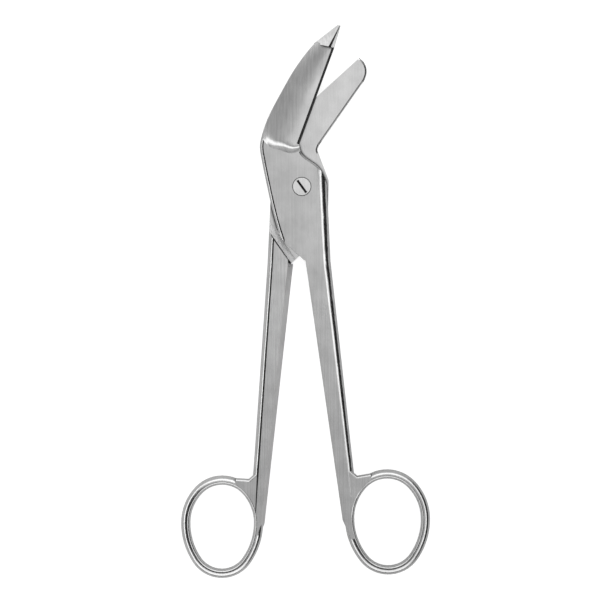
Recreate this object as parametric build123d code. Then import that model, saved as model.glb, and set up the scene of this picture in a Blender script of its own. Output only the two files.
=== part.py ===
from build123d import *
import os
from math import asin, atan2, cos, degrees, hypot, radians, sin, tan

# Bandage scissors with angled blades: two forged halves that lap over each other and turn on one screw.
# The origin is on the screw's axis, in the plane that the scissors lie on. +Y runs to the tips, +Z to
# the screw's head. Millimetres and degrees. The halves are drawn as they lie, opened by rest_opening.
# Each half is drawn as seen from its own outer face, blade up, shank down and to the right.

rest_opening = 12.9        # how far the halves stand apart from closed
blade_reach = 58.75        # pivot to the probe's tip, measured along Y
joint_thickness = 5.6      # both plates together, and each shank beside the joint
lap_gap = 0.05             # running gap between the lapped faces
shoulder_radius = 19.4     # pivot to the rear half's shoulder, which closes the joint
shoulder_angle = -34.7     # direction from the pivot to a half's own shoulder
shoulder_slope = 2.6       # width of the hollow slope that runs down from the shoulder
shoulder_sag = 0.3         # how far that slope is hollow
hidden_shoulder_share = 1.072   # the front half's shoulder, on the back, in shoulder radii
closing_gap = 0.25         # left between an edge and the shoulder when the scissors are shut

# Plates and shanks
front_half_width = 9.2     # pivot to the plate's outer side
front_joint_splay = 2.6    # that side's slant against Y
front_bend = 26.8          # pivot to where the shank turns outward
front_shank_splay = 6.3
front_shank_inner = 1.3    # the shank's inner edge at the bend
front_inner_splay = 8.15
rear_half_width = 11.12
rear_joint_splay = 2.7
rear_bend = 28.0
rear_shank_splay = 3.9
rear_shank_inner = 3.15
rear_inner_splay = 6.28
plate_rounding = 3.4       # the rounding along the plate's outer side
shank_rounding = 2.6       # the same beside the bend
ring_end_rounding = 2.1    # the same where the shank meets its ring
inner_rounding = 2.0       # rounding of the same side on the inner face
shank_slant = 1.9          # how far the shank's inner side leans back over its thickness
ring_end_slant = 1.3       # the same lean at the ring
edge_land = 0.3            # narrow flat along the sharp inner edge
crease_share = 1.06        # half height of the rounding's ellipse, which meets the flat at a slight crease
back_rounding = 1.3        # rounding along the back of the blade and the plate
ring_end_thickness = 4.4   # shank and ring thickness at the ring

# Rings
front_hole_width = 24.1
front_hole_rise = 14.5     # the widest line to the top of the hole
front_hole_drop = 16.9     # the widest line to the bottom of the hole
front_ring_out = 31.1      # pivot to the hole's centre line, sideways
front_ring_down = 120.4    # pivot to the hole's widest line
front_ring_tilt = 1.9
rear_hole_width = 23.0
rear_hole_rise = 13.76
rear_hole_drop = 16.65
rear_ring_out = 28.9
rear_ring_down = 121.9
rear_ring_tilt = 0.6
ring_wall = 3.4
ring_crown = 1.15          # the hole's edge to the highest line of the ring's section
web_rounding = 1.0         # along the top of the web between shank and ring
cap_shares = (0.87, 0.80)  # radius of the hole's top and bottom arcs, in half widths
knee_share = 0.02          # the shank is straight to this far below the hole's widest line, in hole widths
tail_share = 0.30          # its tail ends this far below that line
tail_slant_share = 0.5     # lean of the tail's inner side, in ring crowns
web_slope_share = 0.85     # drop of the web's edge from the shank to the notch, over its run

# Blades
edge_thickness = 0.7       # blade at the cutting edge, before its bevel
bevel_width = 0.85
bevel_land = 0.15          # what the bevel leaves at the edge itself
back_step = 0.3            # how far the ground face lies below the plate, along the back
tip_step = 0.8             # the same at the tip
hollow_sag = 0.35          # how far the ground face is hollow across the blade
neck_rounding = 1.1        # of the front plate's edge beside the rear blade

# Screw
head_diameter = 6.4
head_rim = 0.45            # straight rim of the head, above its cone
shaft_diameter = 4.0
turning_gap = 0.05         # running gap round the shaft and the head's cone
rim_gap = 0.25             # open groove round the head's rim
slot_width = 0.85
slot_depth = 0.9
slot_radius = 5.2          # of the saw that cut the slot, which leaves its floor hollow
slot_direction = -54.0

overrun = 1.0              # how far every cutter runs past what it cuts
span = blade_reach * 4     # longer and wider than the scissors
mid_z = joint_thickness / 2
lap_z = mid_z + lap_gap / 2
border_steps = 16          # the ground face is shaped on this many steps along its border
blend_step_shares = (-0.5, -0.25, 0, 0.2, 0.4, 0.6, 0.8, 1)    # and on these, from the border outward
face_step_shares = (0.04, 0.10, 0.22, 0.40, 0.60, 0.80, 1)     # and on from there to the tip

# Shares of shoulder_radius: the outline of each plate, and the heel and root of each blade
front_heel_shares = (-0.0521, 0.7892)
rear_heel_shares = (0.2835, 1.1691)
rear_root_shares = (-0.3794, 0.8640)
front_side_shares = ((-0.3200, -1.1750), (-0.5150, -0.5780), (-0.6530, 0.0240), (-0.7650, 0.5840),
                     (-0.7830, 0.7335))
front_neck_shares = ((-0.0242, 0.6588), (0.0784, 0.5376), (0.2278, 0.4345), (0.3397, 0.3320),
                     (0.4144, 0.1923), (0.4665, 0.0428), (0.4930, -0.0800))
rear_side_shares = ((-0.3505, -1.1856), (-0.4887, -0.5540), (-0.5050, 0.1175))
rear_notch_shares = ((-0.2975, 0.6650), (-0.2930, 0.6900), (-0.3030, 0.7300))
neck_lean_shares = (0.375, 1.0)        # direction of the edge that runs up to that notch
rear_corner_shares = ((0.4640, 0.9300), (0.5464, 0.5155), (0.5820, 0.0000))

# Shares of shoulder_radius: where the ground face of each blade begins, from the back to the edge
front_border_shares = ((-1.05, 1.30), (-0.80, 0.98), (-0.67, 0.809), (-0.555, 0.718), (-0.407, 0.677),
                       (-0.22, 0.621), (-0.09, 0.640), (0.10, 0.755))
rear_border_shares = ((-0.60, 0.55), (-0.44, 0.65), (-0.28, 0.76), (-0.08, 0.885), (0.155, 1.00),
                      (0.335, 1.165), (0.52, 1.38))
# Length of the ground face's rise to the plate, at the back and at the edge
front_blend_shares = (0.30, 0.11)
rear_blend_shares = (0.26, 0.075)

# Shares of blade_length, from the plate's corner on the front half: blade outlines, back to edge
front_back_shares = ((0.0159, 0.0975), (0.0746, 0.2601), (0.1599, 0.4228), (0.2509, 0.5854),
                     (0.3558, 0.7399), (0.4526, 0.8538))
front_tip_shares = (0.6055, 0.8102)
front_reach_shares = ((0.2845, 0.9274), (0.7120, 0.8152))      # past here the ground face ends
probe_heel_shares = ((0.4375, 0.8463), (0.6055, 0.8102))
probe_apex_shares = (0.6454, 0.9960)
# The same from the pivot's centre line on the rear half
rear_end_shares = ((-0.4863, 0.5155), (-0.5124, 0.5546), (-0.5285, 0.6195), (-0.5124, 0.6846),
                   (-0.4668, 0.7293))
rear_reach_shares = ((-0.7918, 0.5249), (-0.4355, 0.9077))
# Width of each ground face at the heel, halfway and at the tip
front_width_shares = (0.3167, 0.2695, 0.1572)
rear_width_shares = (0.3122, 0.2403, 0.1685)

# The probe, a smooth foot that the front blade ends in: across its heel, and up the joint's thickness
probe_ring_shares = ((0.00, 0.62), (0.72, 0.95), (0.84, 0.84), (1.00, 0.78), (1.00, 0.42), (0.72, 0.22),
                     (0.12, 0.40))
probe_tip_share = 0.16

corner_x, corner_y = (share * shoulder_radius for share in front_side_shares[-1])
blade_length = blade_reach - corner_y

# Shares of the hole's width, from the top of the hole: the web's notch, and where it meets the ring
front_web_shares = ((-0.454, 0.043), (-0.254, 0.078))
rear_web_shares = ((-0.419, 0.090), (-0.215, 0.105))


def scaled(shares, size):
    """Outline points from shares of a size."""
    return [(x * size, y * size) for x, y in shares]


def on_blade(shares, corner_x):
    """Points of a blade, from shares of its length beyond the plate's corner."""
    return [(corner_x + x * blade_length, corner_y + y * blade_length) for x, y in shares]


def bar_section(y, x_in, x_out, thickness, outer_round, slant):
    """A shank's section: flat faces, the outer side rounded, the inner side leaning back."""
    top = mid_z + thickness / 2
    low = mid_z - thickness / 2
    sweep = degrees(asin(1 / crease_share))
    reach = outer_round / (1 - cos(radians(sweep)))
    top_arc = EllipticalCenterArc((x_out - reach, mid_z), reach, (top - mid_z) * crease_share, 0,
                                  arc_size=sweep)
    low_round = min(inner_rounding, outer_round)
    low_arc = EllipticalCenterArc((x_out - low_round, mid_z), low_round, mid_z - low, 270, arc_size=90)
    land = top - edge_land
    sides = Polyline((x_out - outer_round, top), (x_in, top), (x_in, land), (x_in + slant, low),
                     (x_out - low_round, low))
    section = make_face([top_arc, sides, low_arc])
    return Plane(origin=(0, y, 0), x_dir=(1, 0, 0), z_dir=(0, -1, 0)) * section


def upright_prism(outline):
    """The full thickness of the joint under a closed outline."""
    return extrude(make_face(outline), joint_thickness)


def along_line(profile, angle, start, end):
    """A profile of distance from the pivot and height, run along a line square to that direction."""
    solid = extrude(Plane.XZ * profile, -(end - start))
    return Rot(0, 0, angle) * Pos(0, start, 0) * solid


def hole_arcs(width, rise, drop):
    """An egg of six tangent arcs round the origin: centre, radius, first angle and sweep of each."""
    half = width / 2
    arcs = []
    for cap_share, reach, side in ((cap_shares[0], rise, 1), (cap_shares[1], drop, -1)):
        cap = cap_share * half
        flank = (half ** 2 + (reach - cap) ** 2 - cap ** 2) / (2 * (half - cap))
        lean = degrees(atan2(reach - cap, flank - half))
        arcs.append(((half - flank, 0), flank, min(0, side * lean), lean))
        arcs.append(((0, side * (reach - cap)), cap, side * 90 - (90 - lean), 2 * (90 - lean)))
        arcs.append(((flank - half, 0), flank, 180 - max(0, side * lean), lean))
    return arcs


def egg_face(width, rise, drop, grow):
    """The egg's outline moved outward by grow, as a face."""
    arcs = hole_arcs(width, rise, drop)
    return make_face([CenterArc(c, r + grow, first, sweep) for c, r, first, sweep in arcs])


def ring_section(radius):
    """The ring's section outside a hole of this radius: highest near the hole, rounded to both sides."""
    tall = ring_end_thickness / 2
    crown = radius + ring_crown
    inner = EllipticalCenterArc((crown, 0), ring_crown, tall, 90, arc_size=180)
    outer = EllipticalCenterArc((crown, 0), ring_wall - ring_crown, tall, 270, arc_size=180)
    return Plane.XZ * make_face([inner, outer])


def finger_ring(width, rise, drop):
    """A finger ring, one turned piece for each arc of its egg."""
    ring = None
    for centre, radius, first, sweep in hole_arcs(width, rise, drop):
        piece = revolve(ring_section(radius), Axis.Z, sweep)
        piece = Pos(centre[0], centre[1], mid_z) * Rot(0, 0, first) * piece
        ring = piece if ring is None else ring + piece
    return ring


def ground_cutter(border, blend_shares, reach, heel, tip, width_shares):
    """What is ground off a blade's outer face, down to a hollow face that starts at the border."""
    along = Vector(tip[0] - heel[0], tip[1] - heel[1], 0).normalized()
    across = Vector(-along.Y, along.X, 0)
    edge_length = hypot(tip[0] - heel[0], tip[1] - heel[1])
    line = Spline(*border)
    back_blend, edge_blend = (share * shoulder_radius for share in blend_shares)
    rows = []
    for i in range(border_steps + 1):
        v = i / border_steps
        start = line @ v
        end = Vector(*reach[0]) + (Vector(*reach[1]) - Vector(*reach[0])) * v
        length = (end - start).length
        blend_length = back_blend + (edge_blend - back_blend) * v
        row = [(share * blend_length, share) for share in blend_step_shares]
        row += [(blend_length + share * (length - blend_length), 1) for share in face_step_shares]
        points = []
        for distance, blend_share in row:
            p = start + (end - start) * (distance / length)
            run = (p - Vector(*heel)).dot(along) / edge_length
            off = (p - Vector(*heel)).dot(across)
            points.append(Vector(p.X, p.Y, ground_height(run, off, blend_share, width_shares)))
        rows.append(points)
    face = Face.make_surface_from_array_of_points(rows)
    return Solid.extrude(face, Vector(0, 0, joint_thickness * 2))


def ground_height(run, off, blend_share, width_shares):
    """Height of the ground face, run along the blade and off its edge, blended up to the plate."""
    run = min(1, max(0, run))
    at_heel, halfway, at_tip = (share * blade_length for share in width_shares)
    width = at_heel * (1 - run) * (1 - 2 * run) + 4 * halfway * run * (1 - run)
    width += at_tip * run * (2 * run - 1)
    step = back_step + (tip_step - back_step) * run
    rise = joint_thickness - step - lap_z - edge_thickness
    t = off / width
    floor = lap_z + edge_thickness + rise * t - 4 * hollow_sag * t * (1 - t)
    return floor + (joint_thickness - floor) * (1 - blend_share) ** 2


def edge_bevel(heel, tip):
    """The steep bevel along a cutting edge, from heel to tip."""
    slope = (edge_thickness - bevel_land) / bevel_width
    rise = bevel_width * 2
    profile = Polyline((overrun, lap_z + bevel_land - slope * overrun),
                       (-rise, lap_z + bevel_land + slope * rise),
                       (overrun, lap_z + bevel_land + slope * rise), close=True)
    angle = degrees(atan2(tip[1] - heel[1], tip[0] - heel[0])) - 90
    length = hypot(tip[0] - heel[0], tip[1] - heel[1])
    cutter = extrude(Plane.XZ * make_face(profile), -length)
    return Pos(heel[0], heel[1], 0) * Rot(0, 0, angle) * cutter


def lap_cut(radius):
    """What is milled off the inner face so that the other plate fits, up to the half's own shoulder."""
    foot = radius - shoulder_slope
    slope = SagittaArc((radius, 0), (foot, lap_z), -shoulder_sag)
    rest = Polyline((foot, lap_z), (-span, lap_z), (-span, -overrun), (radius, -overrun), (radius, 0))
    return along_line(make_face([slope, rest]), shoulder_angle, -span, span)


def plate_trim(angle, top_distance, lap_distance):
    """Everything past the plate's edge that meets the other half's shoulder."""
    profile = Polyline((lap_distance, -overrun), (lap_distance, lap_z), (top_distance, joint_thickness),
                       (top_distance, joint_thickness + overrun), (span, joint_thickness + overrun),
                       (span, -overrun), close=True)
    return along_line(make_face(profile), angle, -span, span)


def edge_round(path, size):
    """What is taken off a top edge that runs along a path, with the material on the path's right."""
    corner = Polyline((-size, -size), (overrun, -size), (overrun, overrun), (-size, overrun), close=True)
    profile = make_face(corner) - Pos(-size, -size) * Circle(size * crease_share)
    start, ahead = path @ 0, path % 0
    plane = Plane(origin=(start.X, start.Y, joint_thickness), x_dir=(-ahead.Y, ahead.X, 0), z_dir=ahead)
    return sweep(plane * profile, Pos(0, 0, joint_thickness) * path)


def handle(inner_x, inner_splay, half_width, joint_splay, bend, outer_splay, out, down, width, rise, drop,
           tilt, web_shares):
    """The shank with its ring: straight lofts that die into the ring's crown, and a flat web above it."""
    def inner(y):
        return inner_x + (-bend - y) * tan(radians(inner_splay))

    def outer(y):
        bend_x = half_width + bend * tan(radians(joint_splay))
        return bend_x + (-bend - y) * tan(radians(outer_splay))

    knee = -down - width * knee_share
    stop = -down - width * tail_share
    crown_x = out - width / 2
    sections = [
        bar_section(-bend, inner_x, outer(-bend), joint_thickness, shank_rounding, shank_slant),
        bar_section(knee, inner(knee), outer(knee), ring_end_thickness, ring_end_rounding, ring_end_slant),
        bar_section(stop, crown_x - ring_crown, crown_x + ring_wall, ring_end_thickness, ring_end_rounding,
                    ring_crown * tail_slant_share),
    ]
    bars = loft(sections[:2], ruled=True) + loft(sections[1:], ruled=True)
    place = Pos(out, -down, 0) * Rot(0, 0, tilt)
    hole = place * extrude(egg_face(width, rise, drop, ring_crown), span)
    flat = web(inner, outer, out, -down, rise, scaled(web_shares, width))
    return bars + flat - Pos(0, 0, -mid_z) * hole + place * finger_ring(width, rise, drop)


def web(inner, outer, ring_x, ring_y, rise, edge):
    """The flat web between the shank and the top of the ring, its free edge rounded."""
    (notch_x, notch_y), (meet_x, meet_y) = [(ring_x + x, ring_y + rise + y) for x, y in edge]
    root_x = outer(notch_y) - ring_end_rounding
    root_y = notch_y + (notch_x - root_x) * web_slope_share
    points = [(inner(root_y) + shank_slant, root_y), (root_x, root_y), (notch_x, notch_y), (meet_x, meet_y),
              (meet_x, ring_y), (inner(ring_y) + shank_slant, ring_y)]
    solid = extrude(make_face(Polyline(*points, close=True)), ring_end_thickness)
    free = [e for e in solid.edges().filter_by(Plane.XY)
            if min(v.Y for v in e.vertices()) > notch_y - overrun and e.center().X > root_x]
    solid = fillet(free, web_rounding)
    return Pos(0, 0, mid_z - ring_end_thickness / 2) * solid


def plate_bar(half_width, joint_splay, bend, top):
    """The plate's body before its outline is cut: flat faces, and the outer side rounded."""
    def section(y, rounding):
        x_out = half_width - y * tan(radians(joint_splay))
        return bar_section(y, -span, x_out, joint_thickness, rounding, 0)
    upper = Pos(0, (span + top) / 2, mid_z) * Box(span * 2, span - top, joint_thickness)
    return loft([section(-bend, shank_rounding), section(top, plate_rounding)], ruled=True) + upper


def shoulder_pocket():
    """The undercut run on into the front shank's root, as far as the front half's own shoulder."""
    top_distance = shoulder_radius - closing_gap
    wedge = Polyline((top_distance - shoulder_slope, lap_z), (top_distance, joint_thickness),
                     (top_distance, lap_z), close=True)
    foot = shoulder_radius * hidden_shoulder_share - shoulder_slope
    limit = Polyline((-span, 0), (foot, 0), (foot, joint_thickness), (-span, joint_thickness), close=True)
    run_on = along_line(make_face(wedge), rest_opening - 180 - shoulder_angle, -span, span)
    return run_on & along_line(make_face(limit), shoulder_angle, -span, span)


def shut_root():
    """What the front shank's root takes off the rear half's shoulder corner, in the rear's own view."""
    def section(y):
        inner = front_shank_inner + (-front_bend - y) * tan(radians(front_inner_splay)) - closing_gap
        return bar_section(y, inner, span, joint_thickness, shank_rounding, shank_slant)
    root = loft([section(-front_bend + shoulder_slope), section(-front_bend - shoulder_slope)], ruled=True)
    near = shoulder_radius - closing_gap * 2
    beyond = Polyline((near, lap_z), (span, lap_z), (span, joint_thickness), (near, joint_thickness),
                      close=True)
    limit = along_line(make_face(beyond), rest_opening - 180 - shoulder_angle, -span, span)
    turned = Pos(0, 0, joint_thickness) * Rot(0, 180, 0) * Rot(0, 0, -rest_opening)
    return turned * root & turned * limit


def screw_seat():
    """The turning hole with its countersink, through the front plate."""
    shaft = shaft_diameter / 2 + turning_gap
    head = head_diameter / 2 + turning_gap
    cone = head - shaft
    deep = joint_thickness - head_rim
    rim = head_diameter / 2 + rim_gap
    profile = Polyline((0, -overrun), (shaft, -overrun), (shaft, deep - cone), (head, deep), (rim, deep),
                       (rim, joint_thickness + overrun), (0, joint_thickness + overrun), close=True)
    return revolve(Plane.XZ * make_face(profile), Axis.Z)


def pivot_screw():
    """A slotted countersunk screw, its head flush with the front plate and its end with the back."""
    shaft = shaft_diameter / 2
    head = head_diameter / 2
    deep = joint_thickness - head_rim
    profile = Polyline((0, 0), (shaft, 0), (shaft, deep - (head - shaft)), (head, deep),
                       (head, joint_thickness), (0, joint_thickness), close=True)
    body = revolve(Plane.XZ * make_face(profile), Axis.Z)
    saw = Rot(90, 0, 0) * Cylinder(slot_radius, slot_width)
    slot = Rot(0, 0, slot_direction) * Pos(0, 0, joint_thickness - slot_depth + slot_radius) * saw
    return body - slot


def probe():
    """The blunt foot at the front blade's tip, thicker than the blade, lofted to a small end."""
    (x0, y0), (x1, y1), apex = on_blade((*probe_heel_shares, probe_apex_shares), corner_x)
    heel_x = Vector(x1 - x0, y1 - y0)
    heel = Plane(origin=(x0, y0, 0), x_dir=heel_x, z_dir=heel_x.cross(Vector(0, 0, 1)))
    ring = [(s * heel_x.length, h * joint_thickness) for s, h in probe_ring_shares]
    base = heel * make_face(Polyline(*ring, close=True))
    centre_s = heel_x.length / 2
    small = [((s - centre_s) * probe_tip_share, (h - mid_z) * probe_tip_share) for s, h in ring]
    tip = Plane(origin=(*apex, mid_z), x_dir=heel_x, z_dir=heel.z_dir)
    return loft([base, tip * make_face(Polyline(*small, close=True))], ruled=True)


def front_half():
    """The half with the long probe blade, whose plate carries the screw's head."""
    side = Spline(*scaled(front_side_shares, shoulder_radius), *on_blade(front_back_shares, corner_x))
    neck = Spline(*scaled(front_neck_shares, shoulder_radius))
    tip, *reach = on_blade((front_tip_shares, *front_reach_shares), corner_x)
    heel, *border = scaled((front_heel_shares, *front_border_shares), shoulder_radius)
    outline = [side, Line(side @ 1, tip), Line(tip, heel), Line(heel, neck @ 0), neck,
               Polyline(neck @ 1, (span, (neck @ 1).Y), (span, -front_bend), (0, -front_bend),
                        ((side @ 0).X, -front_bend), side @ 0)]
    plate = plate_bar(front_half_width, front_joint_splay, front_bend, heel[1] / 2)
    plate = plate & upright_prism(outline)
    edges = [e for e in plate.edges().group_by(Axis.Z)[-1] if e.length > blade_reach and e.center().X < 0]
    plate = fillet(edges, back_rounding)
    top_distance = shoulder_radius - closing_gap
    lap_distance = top_distance - shoulder_slope
    plate = plate - plate_trim(rest_opening - 180 - shoulder_angle, top_distance, lap_distance)
    plate = plate - edge_round(neck, neck_rounding)
    plate = plate - ground_cutter(border, front_blend_shares, reach, heel, tip, front_width_shares)
    body = plate + handle(front_shank_inner, front_inner_splay, front_half_width, front_joint_splay,
                          front_bend, front_shank_splay, front_ring_out, front_ring_down, front_hole_width,
                          front_hole_rise, front_hole_drop, front_ring_tilt, front_web_shares)
    body = body - lap_cut(shoulder_radius * hidden_shoulder_share)
    body = body - edge_bevel(heel, tip) - screw_seat() - shoulder_pocket()
    return body + probe()


def rear_half():
    """The half with the short round-ended blade, into which the screw is threaded."""
    side = Polyline(*scaled(rear_side_shares, shoulder_radius))
    end_points = on_blade(rear_end_shares, 0)
    notch = scaled(rear_notch_shares, shoulder_radius)
    heel, root, *border = scaled((rear_heel_shares, rear_root_shares, *rear_border_shares), shoulder_radius)
    back = Line(root, end_points[0])
    neck = Spline(*notch, back @ 0, tangents=(neck_lean_shares, tuple(back % 0)[:2]))
    end = Spline(*end_points)
    tip, *reach = on_blade((rear_end_shares[-1], *rear_reach_shares), 0)
    corner = Spline(heel, *scaled(rear_corner_shares, shoulder_radius))
    outline = [side, Line(side @ 1, notch[0]), neck, back, end, Line(tip, heel), corner,
               Polyline(corner @ 1, (span, (corner @ 1).Y), (span, -rear_bend), (0, -rear_bend),
                        ((side @ 0).X, -rear_bend), side @ 0)]
    plate = plate_bar(rear_half_width, rear_joint_splay, rear_bend, heel[1] / 2)
    plate = plate & upright_prism(outline)
    distance = shoulder_radius * hidden_shoulder_share - shoulder_slope - closing_gap
    plate = plate - plate_trim(rest_opening - 180 - shoulder_angle, distance, distance)
    body = plate + handle(rear_shank_inner, rear_inner_splay, rear_half_width, rear_joint_splay,
                          rear_bend, rear_shank_splay, rear_ring_out, rear_ring_down, rear_hole_width,
                          rear_hole_rise, rear_hole_drop, rear_ring_tilt, rear_web_shares)
    body = body - lap_cut(shoulder_radius)
    body = body - edge_bevel(heel, tip) - shut_root()
    body = body - Cylinder(shaft_diameter / 2, span)
    body = body - ground_cutter(border, rear_blend_shares, reach, heel, tip, rear_width_shares)
    return Pos(0, 0, joint_thickness) * Rot(0, 180, 0) * body


nodes = {
    "front_half": front_half(),
    "rear_half": rear_half(),
    "pivot_screw": pivot_screw(),
}
os.makedirs("parts", exist_ok=True)
for name, solid in nodes.items():
    export_step(solid, f"parts/{name}.step")
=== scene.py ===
import math

import bmesh
import bpy
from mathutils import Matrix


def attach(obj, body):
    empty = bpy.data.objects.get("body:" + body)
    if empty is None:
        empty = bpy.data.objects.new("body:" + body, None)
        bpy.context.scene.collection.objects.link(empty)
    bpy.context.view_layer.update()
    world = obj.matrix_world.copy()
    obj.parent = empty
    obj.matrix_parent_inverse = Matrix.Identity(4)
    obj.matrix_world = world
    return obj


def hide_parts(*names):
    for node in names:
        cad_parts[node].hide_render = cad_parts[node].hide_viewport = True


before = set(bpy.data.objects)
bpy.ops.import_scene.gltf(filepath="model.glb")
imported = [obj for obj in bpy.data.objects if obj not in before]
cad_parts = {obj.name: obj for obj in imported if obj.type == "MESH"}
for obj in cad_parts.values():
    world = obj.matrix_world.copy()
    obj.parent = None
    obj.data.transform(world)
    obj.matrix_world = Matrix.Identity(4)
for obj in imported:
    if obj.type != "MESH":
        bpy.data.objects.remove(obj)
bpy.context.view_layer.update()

# The viewpoint: the scissors lie on a white sheet, tips away from the viewer, and are seen
# from straight above through a long lens that takes in a square of the sheet.
bpy.context.scene.view_settings.view_transform = "Standard"
mm = 0.001
seen_width = 217.2 * mm
seen_centre = (-0.65 * mm, -41.1 * mm)
lens = 200.0
sensor = 36.0
camera_data = bpy.data.cameras.new("overhead_camera")
camera_data.lens = lens
camera_data.sensor_width = sensor
camera = bpy.data.objects.new("overhead_camera", camera_data)
joint_thickness = 5.6 * mm
camera.location = (*seen_centre, joint_thickness + seen_width * lens / sensor)
bpy.context.scene.collection.objects.link(camera)
bpy.context.scene.camera = camera


# The rear half: forged stainless steel, ground lengthwise, with the short blade, the shank under
# the left hand and its ring. The sharp edge of the lap face is broken along the blade's back and
# tip, and the shoulder's milled slope is left matt.
def forged_mesh(node, name, soft_height=None, soft_from=0, soft_width=0):
    """The node's own form as one closed skin, which keeps the true normals of every ground face.

    The sharp edges round the level face at soft_height that lie beyond soft_from and turn away
    from the cutting edge are broken by soft_width."""
    weld_distance = 0.002 * mm
    level_tolerance = 0.01 * mm
    wall_angle = math.radians(60)
    turned_away = 0.3
    nearly_flat_bevel = 0.367

    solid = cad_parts[node].data
    skin = bmesh.new()
    skin.from_mesh(solid)
    true_normal = skin.loops.layers.float_vector.new("true_normal")
    for face, polygon in zip(skin.faces, solid.polygons):
        for corner, index in zip(face.loops, polygon.loop_indices):
            corner[true_normal] = solid.corner_normals[index].vector
    bmesh.ops.remove_doubles(skin, verts=skin.verts, dist=weld_distance)
    if soft_height:
        level = {face for face in skin.faces
                 if all(abs(vert.co.z - soft_height) < level_tolerance for vert in face.verts)}
        inner = [edge for edge in skin.edges if all(face in level for face in edge.link_faces)]
        bmesh.ops.dissolve_edges(skin, edges=inner, use_verts=False)
        sharp = [edge for edge in skin.edges
                 if edge.is_manifold and edge.calc_face_angle() > wall_angle
                 and all(abs(end.co.z - soft_height) < level_tolerance and end.co.y > soft_from
                         for end in edge.verts)
                 and any(face.normal.x > turned_away for face in edge.link_faces)]
        cut = bmesh.ops.bevel(skin, geom=sharp, offset=soft_width, segments=2,
                              profile=nearly_flat_bevel, affect="EDGES", clamp_overlap=False)
        skin.normal_update()
        for face in cut["faces"]:
            for corner in face.loops:
                corner[true_normal] = face.normal
    mesh = bpy.data.meshes.new(name)
    skin.to_mesh(mesh)
    skin.free()
    for face in mesh.polygons:
        face.use_smooth = True
    normals = [corner.vector.copy() for corner in mesh.attributes["true_normal"].data]
    mesh.attributes.remove(mesh.attributes["true_normal"])
    mesh.normals_split_custom_set(normals)
    piece = bpy.data.objects.new(name, mesh)
    bpy.context.scene.collection.objects.link(piece)
    return piece


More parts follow.
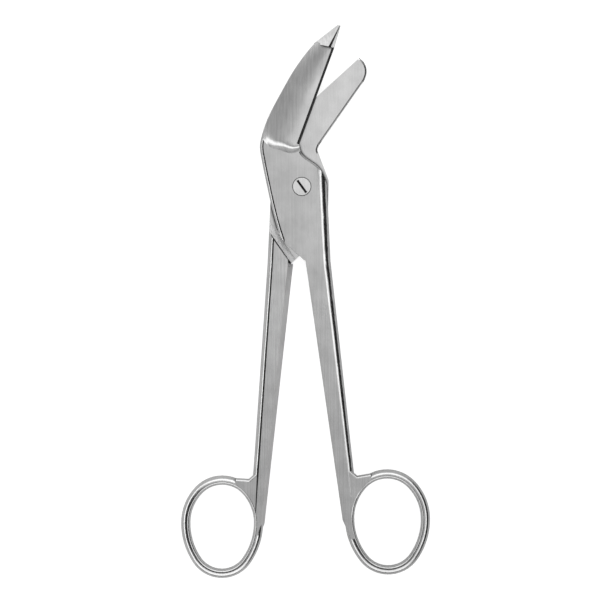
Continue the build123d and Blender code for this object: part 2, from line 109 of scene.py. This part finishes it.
def steel(name, shank_turn, blade_turn, blade_from, grey, roughness, painted_gap_shade=None, matt_band=None):
    """Stainless steel with lengthwise grinding lines, which are shorter and wider beyond blade_from.

    The two turns pick another part of the noise for each piece, so that no two are lined alike.
    painted_gap_shade is a radius round the screw's axis and two heights, between which the steel is
    painted near black as shade in the gaps and slot. matt_band is two distances from the axis towards
    the shoulder, between which the milled slope above the lap face is matt."""
    material = bpy.data.materials.new(name)
    material.use_nodes = True
    nodes, links = material.node_tree.nodes, material.node_tree.links
    shader = nodes["Principled BSDF"]
    shader.inputs["Metallic"].default_value = 1.0
    place = nodes.new("ShaderNodeTexCoord")
    noise_detail = 4

    def lines(turn, along, across):
        """Lengthwise grinding lines, so many to the metre along and across them."""
        mapping = nodes.new("ShaderNodeMapping")
        mapping.inputs["Rotation"].default_value = (0, 0, turn)
        mapping.inputs["Scale"].default_value = (across, along, across)
        noise = nodes.new("ShaderNodeTexNoise")
        noise.inputs["Scale"].default_value = 1.0
        noise.inputs["Detail"].default_value = noise_detail
        links.new(place.outputs["Object"], mapping.inputs["Vector"])
        links.new(mapping.outputs["Vector"], noise.inputs["Vector"])
        return noise.outputs["Fac"]

    shank_lines = lines(shank_turn, along=40, across=2400)
    blade_lines = lines(blade_turn, along=70, across=1500)
    split = nodes.new("ShaderNodeSeparateXYZ")
    links.new(place.outputs["Object"], split.inputs["Vector"])
    blend_length = 1 * mm
    beyond = nodes.new("ShaderNodeMapRange")
    beyond.inputs["From Min"].default_value = blade_from
    beyond.inputs["From Max"].default_value = blade_from + blend_length
    links.new(split.outputs["Y"], beyond.inputs["Value"])
    grain = nodes.new("ShaderNodeMix")
    grain.data_type = "FLOAT"
    links.new(beyond.outputs["Result"], grain.inputs["Factor"])
    links.new(shank_lines, grain.inputs[2])
    links.new(blade_lines, grain.inputs[3])

    patches_per_metre = 140
    darkest, brightest = 0.86, 1.08
    cloud = nodes.new("ShaderNodeTexNoise")
    cloud.inputs["Scale"].default_value = patches_per_metre
    cloud.inputs["Detail"].default_value = noise_detail
    links.new(place.outputs["Object"], cloud.inputs["Vector"])
    shade = nodes.new("ShaderNodeMath")
    shade.operation = "ADD"
    links.new(cloud.outputs["Fac"], shade.inputs[0])
    links.new(grain.outputs[0], shade.inputs[1])
    spread = nodes.new("ShaderNodeMapRange")
    spread.inputs["From Min"].default_value = 0.75
    spread.inputs["From Max"].default_value = 1.25
    links.new(shade.outputs[0], spread.inputs["Value"])
    tone = nodes.new("ShaderNodeMix")
    tone.data_type = "RGBA"
    tone.inputs[6].default_value = (grey * darkest, grey * darkest, grey * darkest, 1)
    tone.inputs[7].default_value = (grey * brightest, grey * brightest, grey * brightest, 1)
    links.new(spread.outputs["Result"], tone.inputs["Factor"])

    def all_of(tests):
        """1 where every value is on its side of its limit, 0 elsewhere."""
        product = None
        for socket, operation, limit in tests:
            test = nodes.new("ShaderNodeMath")
            test.operation = operation
            test.inputs[1].default_value = limit
            links.new(socket, test.inputs[0])
            if product is None:
                product = test.outputs[0]
                continue
            both = nodes.new("ShaderNodeMath")
            both.operation = "MULTIPLY"
            links.new(product, both.inputs[0])
            links.new(test.outputs[0], both.inputs[1])
            product = both.outputs[0]
        return product

    base = tone.outputs[2]
    # Painted shade: within the given radius and heights round the screw's axis, the base colour is
    # set near black to stand in for the shade in the gap round the screw's head, in its seat and in
    # its slot.
    if painted_gap_shade:
        gap_shade_grey = 0.015
        ring_radius, ring_bottom, ring_top = painted_gap_shade
        level_place = nodes.new("ShaderNodeVectorMath")
        level_place.operation = "MULTIPLY"
        level_place.inputs[1].default_value = (1, 1, 0)
        links.new(place.outputs["Object"], level_place.inputs[0])
        radius = nodes.new("ShaderNodeVectorMath")
        radius.operation = "LENGTH"
        links.new(level_place.outputs["Vector"], radius.inputs[0])
        in_gap_shade = all_of(((radius.outputs["Value"], "LESS_THAN", ring_radius),
                          (split.outputs["Z"], "GREATER_THAN", ring_bottom),
                          (split.outputs["Z"], "LESS_THAN", ring_top)))
        gap_shade_mix = nodes.new("ShaderNodeMix")
        gap_shade_mix.data_type = "RGBA"
        gap_shade_mix.inputs[7].default_value = (gap_shade_grey, gap_shade_grey, gap_shade_grey, 1)
        links.new(in_gap_shade, gap_shade_mix.inputs["Factor"])
        links.new(base, gap_shade_mix.inputs[6])
        base = gap_shade_mix.outputs[2]
    if matt_band:
        matt_grey = 0.95
        band_start, band_end = matt_band
        slope_bottom, slope_top = 2.8 * mm, 5.58 * mm
        shoulder_direction = (-0.822, -0.569, 0)
        toward = nodes.new("ShaderNodeVectorMath")
        toward.operation = "DOT_PRODUCT"
        toward.inputs[1].default_value = shoulder_direction
        links.new(place.outputs["Object"], toward.inputs[0])
        on_slope = all_of(((toward.outputs["Value"], "GREATER_THAN", band_start),
                           (toward.outputs["Value"], "LESS_THAN", band_end),
                           (split.outputs["Z"], "GREATER_THAN", slope_bottom),
                           (split.outputs["Z"], "LESS_THAN", slope_top)))
        metal = nodes.new("ShaderNodeMapRange")
        metal.inputs["To Min"].default_value = 1.0
        metal.inputs["To Max"].default_value = 0.0
        links.new(on_slope, metal.inputs["Value"])
        links.new(metal.outputs["Result"], shader.inputs["Metallic"])
        milled = nodes.new("ShaderNodeMix")
        milled.data_type = "RGBA"
        milled.inputs[7].default_value = (matt_grey, matt_grey, matt_grey, 1)
        links.new(on_slope, milled.inputs["Factor"])
        links.new(base, milled.inputs[6])
        base = milled.outputs[2]

    # Painted shade: the base colour is darkened towards near black where ambient occlusion finds
    # other surfaces close by, in creases, beside walls, between the halves and where the steel lies
    # on the sheet.
    crevice_reach = 1.2 * mm
    crevice_shade_grey = 0.02
    crevice_occlusion = nodes.new("ShaderNodeAmbientOcclusion")
    crevice_occlusion.samples = 8
    crevice_occlusion.inputs["Distance"].default_value = crevice_reach
    openness = nodes.new("ShaderNodeMapRange")
    openness.inputs["From Min"].default_value = 0.55
    openness.inputs["From Max"].default_value = 0.93
    links.new(crevice_occlusion.outputs["AO"], openness.inputs["Value"])
    shaded = nodes.new("ShaderNodeMix")
    shaded.data_type = "RGBA"
    shaded.inputs[6].default_value = (crevice_shade_grey, crevice_shade_grey, crevice_shade_grey, 1)
    links.new(openness.outputs["Result"], shaded.inputs["Factor"])
    links.new(base, shaded.inputs[7])
    links.new(shaded.outputs[2], shader.inputs["Base Color"])

    gloss = nodes.new("ShaderNodeMapRange")
    gloss.inputs["From Min"].default_value = 0.3
    gloss.inputs["From Max"].default_value = 0.7
    gloss.inputs["To Min"].default_value = roughness * 0.85
    gloss.inputs["To Max"].default_value = roughness * 1.2
    links.new(grain.outputs[0], gloss.inputs["Value"])
    links.new(gloss.outputs["Result"], shader.inputs["Roughness"])

    line_depth = 0.006 * mm
    bump = nodes.new("ShaderNodeBump")
    bump.inputs["Strength"].default_value = 0.6
    bump.inputs["Distance"].default_value = line_depth
    links.new(grain.outputs[0], bump.inputs["Height"])
    links.new(bump.outputs["Normal"], shader.inputs["Normal"])
    return material


lap_height = 2.775 * mm
rear = forged_mesh("rear_half", "rear_half_forging", soft_height=lap_height, soft_from=5 * mm,
                   soft_width=0.65 * mm)
rear.data.materials.clear()
rear.data.materials.append(steel("rear_half_steel", math.radians(5), math.radians(54), 15 * mm,
                                 grey=0.80, roughness=0.16, matt_band=(16.7 * mm, 18.95 * mm)))
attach(rear, "rear")
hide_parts("rear_half")

# The front half: the same forging with the long blade, which ends in a blunt probe, and the shank
# under the right hand. Its plate is ground flat round the screw; the screw's seat in it is painted
# dark as shade.
front = forged_mesh("front_half", "front_half_forging")
front.data.materials.clear()
front.data.materials.append(steel("front_half_steel", math.radians(-7), math.radians(-70), 12.5 * mm,
                                  grey=0.70, roughness=0.16, painted_gap_shade=(3.5 * mm, 1 * mm, 5.55 * mm)))
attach(front, "front")
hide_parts("front_half")

# The pivot screw: turned steel, its slotted head flush with the front half's plate and its end
# with the back. Its slot and what lies below the head's face are painted dark as shade.
screw = forged_mesh("pivot_screw", "pivot_screw_turned")
screw.data.materials.clear()
no_blade = 100 * mm
screw.data.materials.append(steel("screw_steel", math.radians(-54), math.radians(-54), no_blade,
                                  grey=0.92, roughness=0.14, painted_gap_shade=(4 * mm, 0.3 * mm, 5.5 * mm)))
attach(screw, "rear")
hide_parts("pivot_screw")

# The white sheet under the scissors: matt paper that takes their shadow. It looks full white to
# the viewer, and the steel sees it dimmer.
sheet_size = 1.5
sheet_drop = 0.1 * mm
paper_grey = 0.6
viewer_glow = 0.8
steel_share = 0.1
half = sheet_size / 2
corners = [(-half, -half, -sheet_drop), (half, -half, -sheet_drop), (half, half, -sheet_drop),
           (-half, half, -sheet_drop)]
sheet_mesh = bpy.data.meshes.new("white_sheet")
sheet_mesh.from_pydata(corners, [], [(0, 1, 2, 3)])
sheet = bpy.data.objects.new("white_sheet", sheet_mesh)
bpy.context.scene.collection.objects.link(sheet)
paper = bpy.data.materials.new("white_sheet")
paper.use_nodes = True
nodes, links = paper.node_tree.nodes, paper.node_tree.links
nodes.clear()
out = nodes.new("ShaderNodeOutputMaterial")
matt = nodes.new("ShaderNodeBsdfDiffuse")
matt.inputs["Color"].default_value = (paper_grey, paper_grey, paper_grey, 1)
glow = nodes.new("ShaderNodeEmission")
path = nodes.new("ShaderNodeLightPath")
seen = nodes.new("ShaderNodeMath")
seen.operation = "MULTIPLY_ADD"
seen.inputs[1].default_value = steel_share
links.new(path.outputs["Is Glossy Ray"], seen.inputs[0])
links.new(path.outputs["Is Camera Ray"], seen.inputs[2])
level = nodes.new("ShaderNodeMath")
level.operation = "MULTIPLY"
level.inputs[1].default_value = viewer_glow
links.new(seen.outputs[0], level.inputs[0])
links.new(level.outputs[0], glow.inputs["Strength"])
joined = nodes.new("ShaderNodeAddShader")
links.new(matt.outputs[0], joined.inputs[0])
links.new(glow.outputs[0], joined.inputs[1])
links.new(joined.outputs[0], out.inputs["Surface"])
sheet_mesh.materials.append(paper)

# The light: a tent of soft light round the scissors, middling grey straight overhead, with bright
# panels at mid height and dark gaps between them, which the steel mirrors. It is white to the viewer.
world = bpy.data.worlds.new("light_tent")
bpy.context.scene.world = world
world.use_nodes = True
nodes, links = world.node_tree.nodes, world.node_tree.links
nodes.clear()
out = nodes.new("ShaderNodeOutputWorld")
sky = nodes.new("ShaderNodeBackground")
direction = nodes.new("ShaderNodeTexCoord")
axes = nodes.new("ShaderNodeSeparateXYZ")
links.new(direction.outputs["Generated"], axes.inputs["Vector"])
lean = nodes.new("ShaderNodeMath")
lean.operation = "ARCCOSINE"
links.new(axes.outputs["Z"], lean.inputs[0])
quarter = nodes.new("ShaderNodeMath")
quarter.operation = "DIVIDE"
quarter.inputs[1].default_value = math.pi / 2
links.new(lean.outputs[0], quarter.inputs[0])


def panel_ramp(steps):
    """Brightness from straight overhead, at 0 degrees, down to the horizon, at 90."""
    horizon = 90
    ramp = nodes.new("ShaderNodeValToRGB")
    while len(ramp.color_ramp.elements) > 1:
        ramp.color_ramp.elements.remove(ramp.color_ramp.elements[0])
    for i, (degrees, value) in enumerate(steps):
        if i == 0:
            step = ramp.color_ramp.elements[0]
            step.position = degrees / horizon
        else:
            step = ramp.color_ramp.elements.new(degrees / horizon)
        step.color = (value, value, value, 1)
    links.new(quarter.outputs[0], ramp.inputs["Fac"])
    return ramp.outputs["Color"]


left = panel_ramp([(0, 0.56), (3, 0.56), (6, 0.02), (46, 0.02), (49, 1.6), (60, 1.6), (64, 0.60),
                   (84, 0.45), (90, 0.35)])
right = panel_ramp([(0, 0.56), (1, 0.60), (3, 1.10), (6, 1.15), (9, 0.62), (14, 0.45), (20, 0.42),
                    (30, 0.52), (36, 0.60), (39, 1.6), (48, 1.6), (52, 0.02), (90, 0.02)])
far = panel_ramp([(0, 0.56), (1.5, 0.58), (2.3, 0.86), (4, 0.98), (8, 0.62), (14, 0.40), (20, 0.60),
                  (30, 1.5), (47, 1.5), (50, 1.5), (58, 0.6), (66, 0.6), (84, 0.5), (90, 0.5)])
near = panel_ramp([(0, 0.56), (1, 0.54), (3, 0.44), (8, 0.45), (12, 0.05), (26, 0.05), (34, 0.9),
                   (46, 1.3), (72, 1.3), (80, 0.1), (90, 0.05)])


def share(axis, sign):
    """How far a direction points along one horizontal axis, from 0 to 1."""
    flat_x, flat_y = nodes.new("ShaderNodeMath"), nodes.new("ShaderNodeMath")
    flat_x.operation = flat_y.operation = "MULTIPLY"
    links.new(axes.outputs["X"], flat_x.inputs[0])
    links.new(axes.outputs["X"], flat_x.inputs[1])
    links.new(axes.outputs["Y"], flat_y.inputs[0])
    links.new(axes.outputs["Y"], flat_y.inputs[1])
    total = nodes.new("ShaderNodeMath")
    total.operation = "ADD"
    links.new(flat_x.outputs[0], total.inputs[0])
    links.new(flat_y.outputs[0], total.inputs[1])
    positive = nodes.new("ShaderNodeMath")
    positive.operation = "MULTIPLY"
    positive.inputs[1].default_value = sign
    links.new(axes.outputs[axis], positive.inputs[0])
    kept = nodes.new("ShaderNodeMath")
    kept.operation = "MAXIMUM"
    kept.inputs[1].default_value = 0
    links.new(positive.outputs[0], kept.inputs[0])
    squared = nodes.new("ShaderNodeMath")
    squared.operation = "MULTIPLY"
    links.new(kept.outputs[0], squared.inputs[0])
    links.new(kept.outputs[0], squared.inputs[1])
    ratio = nodes.new("ShaderNodeMath")
    ratio.operation = "DIVIDE"
    links.new(squared.outputs[0], ratio.inputs[0])
    links.new(total.outputs[0], ratio.inputs[1])
    sharper = nodes.new("ShaderNodeMapRange")
    sharper.interpolation_type = "SMOOTHERSTEP"
    links.new(ratio.outputs[0], sharper.inputs["Value"])
    return sharper.outputs["Result"]


def weighed(colour, weight):
    """A panel's brightness times its share."""
    scaled = nodes.new("ShaderNodeVectorMath")
    scaled.operation = "SCALE"
    links.new(colour, scaled.inputs["Vector"])
    links.new(weight, scaled.inputs["Scale"])
    return scaled.outputs["Vector"]


total = None
for colour, axis, sign in ((left, "X", -1), (right, "X", 1), (far, "Y", 1), (near, "Y", -1)):
    part = weighed(colour, share(axis, sign))
    if total is None:
        total = part
        continue
    added = nodes.new("ShaderNodeVectorMath")
    added.operation = "ADD"
    links.new(total, added.inputs[0])
    links.new(part, added.inputs[1])
    total = added.outputs["Vector"]
links.new(total, sky.inputs["Color"])
white = nodes.new("ShaderNodeBackground")
white.inputs["Color"].default_value = (1, 1, 1, 1)
path = nodes.new("ShaderNodeLightPath")
chosen = nodes.new("ShaderNodeMixShader")
links.new(path.outputs["Is Camera Ray"], chosen.inputs["Fac"])
links.new(sky.outputs[0], chosen.inputs[1])
links.new(white.outputs[0], chosen.inputs[2])
links.new(chosen.outputs[0], out.inputs["Surface"])
